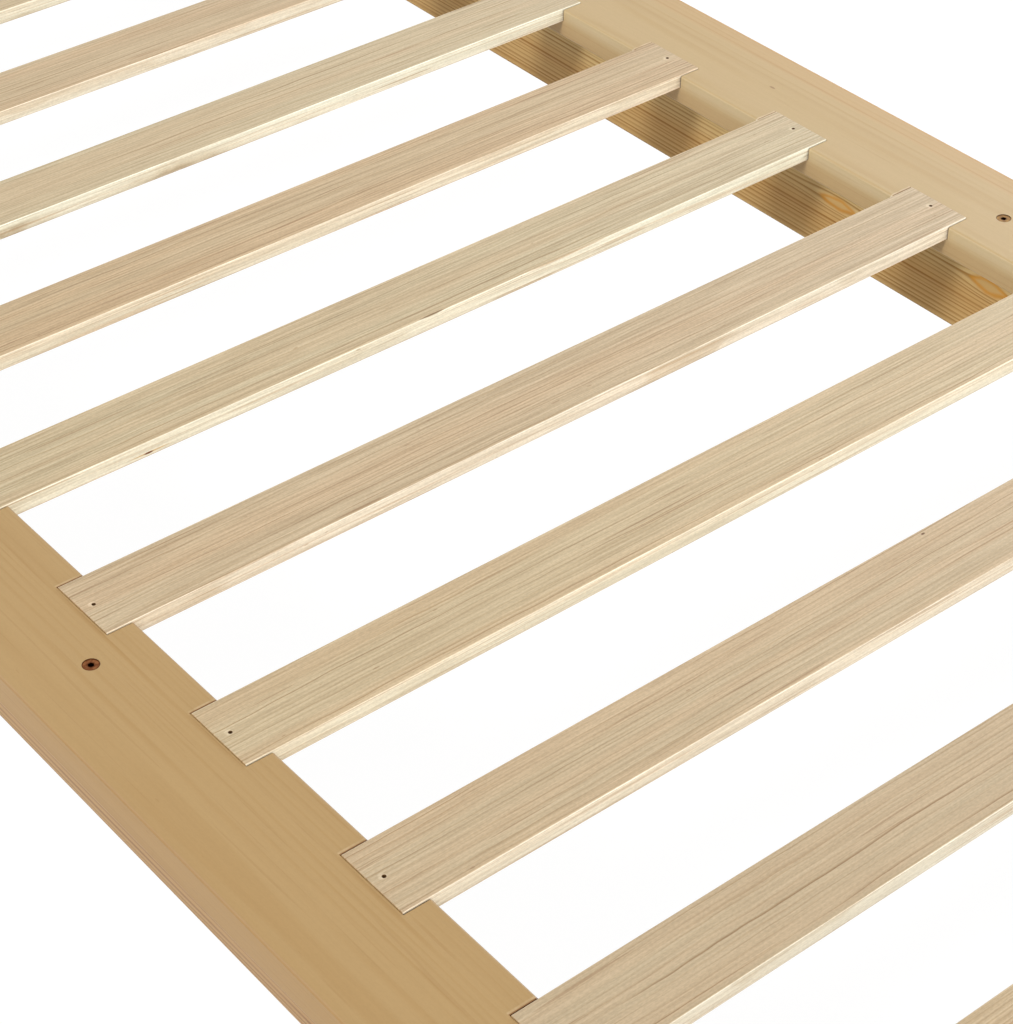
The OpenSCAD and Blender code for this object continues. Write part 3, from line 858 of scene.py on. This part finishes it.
# The pins' dark brown: partly their dull plating, partly painted shade of the holes they sit in
PIN_ZINC_AND_SHADE = ((0.090, 0.048, 0.016), (0.050, 0.025, 0.008), 0.60)
# Glides: their own tone and that of their scuffs
GLIDE_TONES = ((0.105, 0.060, 0.034), (0.21, 0.15, 0.10))


def dress_fittings():
    """Bronze bolts, zinc inserts and nuts, pins darkened partly by painted shade, beech dowels and
    plastic glides.
    """
    bronze = plated("bronze_steel", *BRONZE)
    plank_bronze = plated("plank_bronze", *PLANK_BRONZE, headed=True)
    zinc = plated("zinc_steel", *ZINC)
    pin_zinc_and_shade = plated("pin_zinc_and_shade", *PIN_ZINC_AND_SHADE)
    beech_dowel = beech("beech_dowel")
    dress("plank_bolts", plank_bronze)
    dress("bed_bolts", bronze)
    # Pins dark partly by painted shade of their holes
    dress("slat_pins", pin_zinc_and_shade)
    for node in ("threaded_inserts", "barrel_nuts"):
        dress(node, zinc)
    for node in ("rail_dowels", "plank_dowels"):
        dress(node, beech_dowel)
    dress("floor_glides", moulded("glide_plastic", *GLIDE_TONES))


# Floor, light and camera

FLOOR_HALF = 25.0
# What the floor shows of itself, of the light on it, and how much of that light it sends back
FLOOR_GLOW = 0.955
FLOOR_SHADED = (0.08, 0.08, 0.08)
FLOOR_BOUNCE = (0.80, 0.80, 0.80)
SKY_STRENGTH = 0.42
BACKDROP_STRENGTH = 1.0
# Distant lamps: direction they shine from, share of full light, and spread in degrees
SUNS = {
    "key_left": ((-0.78, -0.145, 0.61), 0.45, 13.0),
    "left_soft": ((-0.93, 0.20, 0.30), 0.14, 60.0),
    "front_soft": ((0.10, -0.94, 0.32), 0.93, 45.0),
    "back_gloss": ((0.86, 0.42, 0.29), 0.30, 30.0),
}
# Camera fitted to the photograph: metres, degrees, and focal length in millimetres
CAMERA_PLACE = (-1.013226, -1.202549, 1.316682)
CAMERA_TURN = (51.9031, 0.1486, -38.962)
CAMERA_LENS = 93.32
CAMERA_CLIP = (0.05, 200.0)


def seen_directly(shader):
    """1 for rays that show the background itself: from the camera, a gloss or a clear piece."""
    path = shader.node("ShaderNodeLightPath").outputs
    direct = shader.math("MAXIMUM", path["Is Camera Ray"], path["Is Glossy Ray"])
    return shader.math("MAXIMUM", direct, path["Is Transmission Ray"])


def floor_material():
    """White floor that stays white to the eye, with the shadow of the bed faint on it."""
    s = Shader(bpy.data.materials.new("floor_white"))
    shown_glow = s.node("ShaderNodeEmission", {"Color": rgba(WHITE), "Strength": FLOOR_GLOW})
    shown_matt = s.node("ShaderNodeBsdfDiffuse", {"Color": rgba(FLOOR_SHADED)})
    shown = s.node("ShaderNodeAddShader", {0: shown_glow.outputs[0], 1: shown_matt.outputs[0]})
    matt = s.node("ShaderNodeBsdfDiffuse", {"Color": rgba(FLOOR_BOUNCE)})
    choice = {0: seen_directly(s), 1: matt.outputs[0], 2: shown.outputs[0]}
    material = s.finish(s.node("ShaderNodeMixShader", choice).outputs[0])
    material.cycles.emission_sampling = "NONE"
    return material


def make_floor():
    """Wide level floor under the glides."""
    near, far = -FLOOR_HALF, FLOOR_HALF
    corners = [(near, near, 0.0), (far, near, 0.0), (far, far, 0.0), (near, far, 0.0)]
    mesh = bpy.data.meshes.new("floor")
    mesh.from_pydata(corners, [], [(0, 1, 2, 3)])
    mesh.materials.append(floor_material())
    floor = bpy.data.objects.new("floor", mesh)
    bpy.context.scene.collection.objects.link(floor)


def make_world():
    """Even pale light from all round, behind a backdrop that shows as white."""
    s = Shader(bpy.data.worlds.new("studio"))
    light = s.node("ShaderNodeBackground", {"Color": rgba(WHITE), "Strength": SKY_STRENGTH})
    backdrop = s.node("ShaderNodeBackground", {"Color": rgba(WHITE), "Strength": BACKDROP_STRENGTH})
    choice = {0: seen_directly(s), 1: light.outputs[0], 2: backdrop.outputs[0]}
    mixed = s.node("ShaderNodeMixShader", choice).outputs[0]
    bpy.context.scene.world = s.finish(mixed, "ShaderNodeOutputWorld")


def make_sun(name, towards, share, spread):
    """Distant lamp from this direction that lights a facing surface with this share of full."""
    lamp = bpy.data.lights.new(name, "SUN")
    lamp.energy = share * math.pi
    lamp.angle = math.radians(spread)
    sun = bpy.data.objects.new(name, lamp)
    sun.rotation_mode = "QUATERNION"
    sun.rotation_quaternion = Vector(towards).to_track_quat("Z", "Y")
    bpy.context.scene.collection.objects.link(sun)


def make_camera():
    """Camera that sees the bed as the photograph does."""
    data = bpy.data.cameras.new("camera")
    data.lens = CAMERA_LENS
    data.clip_start, data.clip_end = CAMERA_CLIP
    camera = bpy.data.objects.new("camera", data)
    camera.location = CAMERA_PLACE
    camera.rotation_euler = [math.radians(angle) for angle in CAMERA_TURN]
    bpy.context.scene.collection.objects.link(camera)
    bpy.context.scene.camera = camera


dress_slats()
dress_frame()
dress_fittings()
make_floor()
make_world()
for sun_name, (sun_towards, sun_share, sun_spread) in SUNS.items():
    make_sun(sun_name, sun_towards, sun_share, sun_spread)
make_camera()
bpy.context.scene.view_settings.view_transform = "Standard"

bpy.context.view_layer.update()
